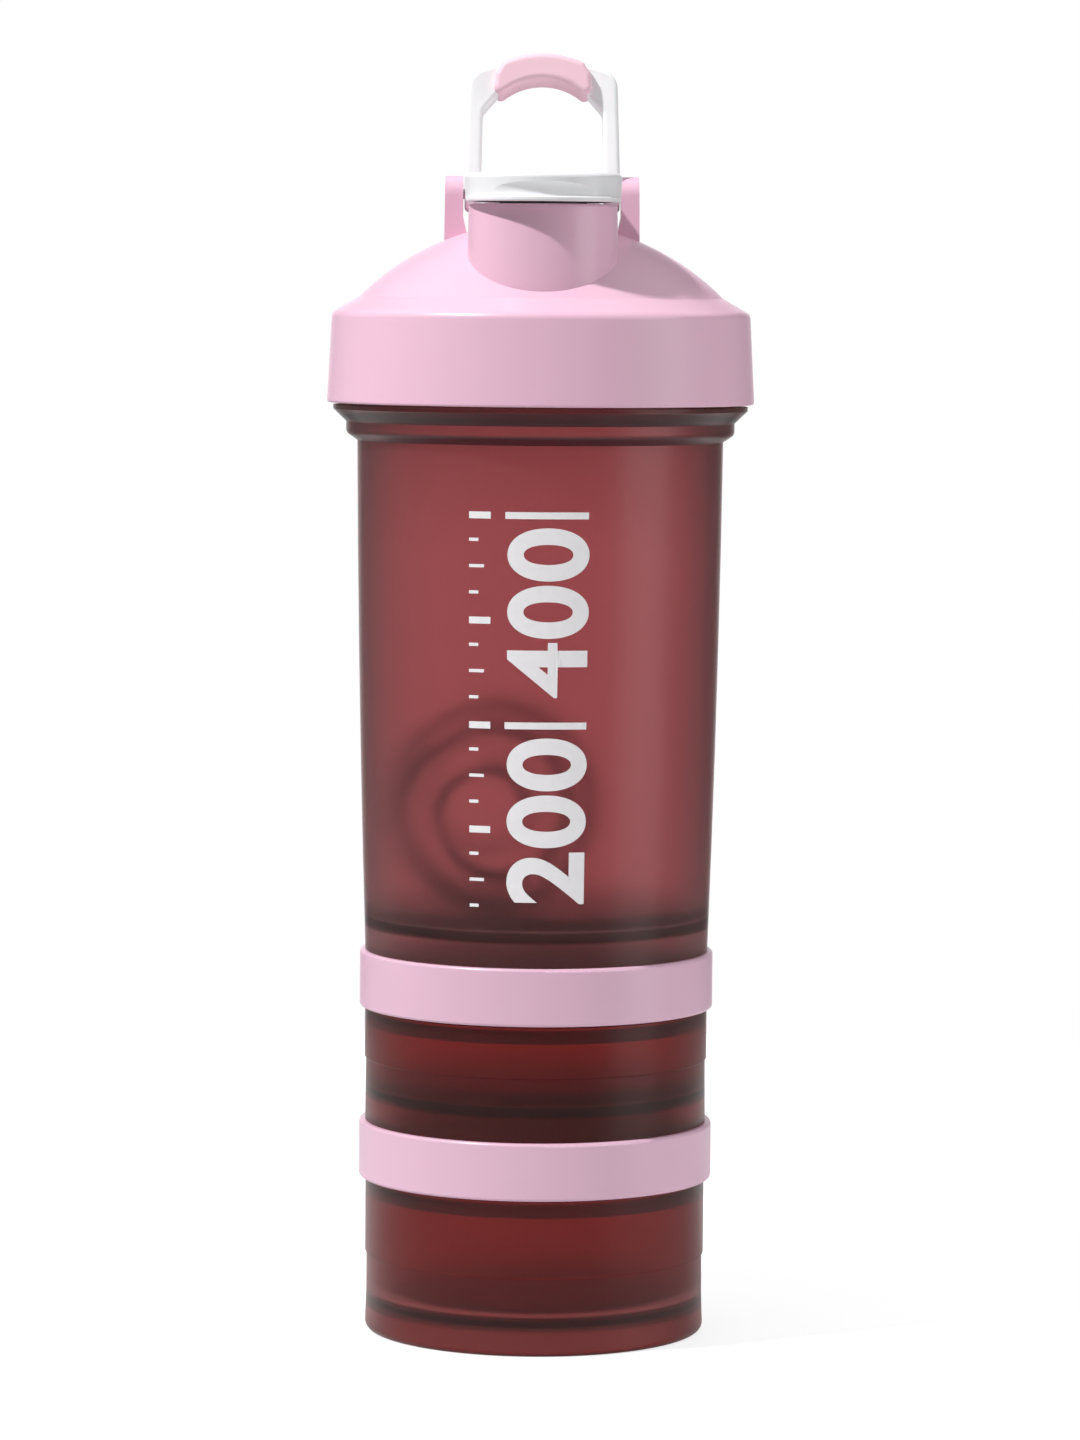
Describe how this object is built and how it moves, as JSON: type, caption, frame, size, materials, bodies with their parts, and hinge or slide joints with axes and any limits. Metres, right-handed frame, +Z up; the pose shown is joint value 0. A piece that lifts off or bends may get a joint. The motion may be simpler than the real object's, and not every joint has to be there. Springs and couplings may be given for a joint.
{
  "type": "protein shaker bottle",
  "caption": "Translucent shaker cup with a domed screw lid, flip cap, carry loop and whisk ball, stacked on screw-on storage jars.",
  "frame": {"origin": "middle of the lower jar's foot, on the surface it stands on", "axes": "+Z up along the bottle's axis, -Y towards the spout (the front), +X to the right seen from the front"},
  "size_m": [0.095, 0.095, 0.285],
  "materials": {
    "cup_plastic": "translucent wine red, lightly frosted",
    "jar_plastic": "translucent wine red, lightly frosted",
    "pink_plastic": "satin opaque pink",
    "white_plastic": "satin opaque white",
    "grip_rubber": "soft matte pink",
    "silicone": "soft translucent white",
    "steel": "drawn stainless wire"
  },
  "bodies": {
    "lower_jar": {"lower_jar": "jar_plastic"},
    "lower_jar_gasket": {"lower_jar_gasket": "silicone"},
    "upper_jar": {"lower_ring": "pink_plastic", "upper_jar": "jar_plastic"},
    "upper_jar_gasket": {"upper_jar_gasket": "silicone"},
    "cup": {"upper_ring": "pink_plastic", "shaker_cup": "cup_plastic"},
    "whisk_ball": {"whisk_ball": "steel"},
    "lid_seal": {"lid_seal": "silicone"},
    "lid": {"screw_lid": "pink_plastic", "hinge_pin": "steel"},
    "flip_cap": {"flip_cap": "white_plastic", "spout_plug": "silicone"},
    "carry_loop": {"carry_loop": "white_plastic", "loop_grip": "grip_rubber"}
  },
  "joints": [
    {"name": "lower_ring_turn", "type": "hinge", "parent": "lower_jar_gasket", "child": "upper_jar", "pos_m": [0, 0, 0.04], "axis": [0, 0, 1], "range_deg": [0, 540]},
    {"name": "lower_ring_lift", "type": "slide", "parent": "lower_jar", "child": "lower_jar_gasket", "axis": [0, 0, 1], "range_m": [0, 0.0061]},
    {"name": "upper_ring_turn", "type": "hinge", "parent": "upper_jar_gasket", "child": "cup", "pos_m": [0, 0, 0.0784], "axis": [0, 0, 1], "range_deg": [0, 540]},
    {"name": "upper_ring_lift", "type": "slide", "parent": "upper_jar", "child": "upper_jar_gasket", "axis": [0, 0, 1], "range_m": [0, 0.0061]},
    {"name": "ball_bounce", "type": "slide", "parent": "cup", "child": "whisk_ball", "axis": [0, 0, 1], "range_m": [0, 0.08]},
    {"name": "lid_turn", "type": "hinge", "parent": "lid_seal", "child": "lid", "pos_m": [0, 0, 0.2238], "axis": [0, 0, 1], "range_deg": [0, 720]},
    {"name": "lid_lift", "type": "slide", "parent": "cup", "child": "lid_seal", "axis": [0, 0, 1], "range_m": [0, 0.0121]},
    {"name": "cap_flip", "type": "hinge", "parent": "lid", "child": "flip_cap", "pos_m": [0, 0.002, 0.2538], "axis": [-1, 0, 0], "range_deg": [0, 62]},
    {"name": "loop_swing", "type": "hinge", "parent": "lid", "child": "carry_loop", "pos_m": [0, 0.002, 0.2538], "axis": [-1, 0, 0], "range_deg": [0, 94]}
  ],
  "couplings": [
    {"joint": "lower_ring_lift", "follows": "lower_ring_turn", "m_per_rad": 0.00063662},
    {"joint": "upper_ring_lift", "follows": "upper_ring_turn", "m_per_rad": 0.00063662},
    {"joint": "lid_lift", "follows": "lid_turn", "m_per_rad": 0.00095493}
  ]
}
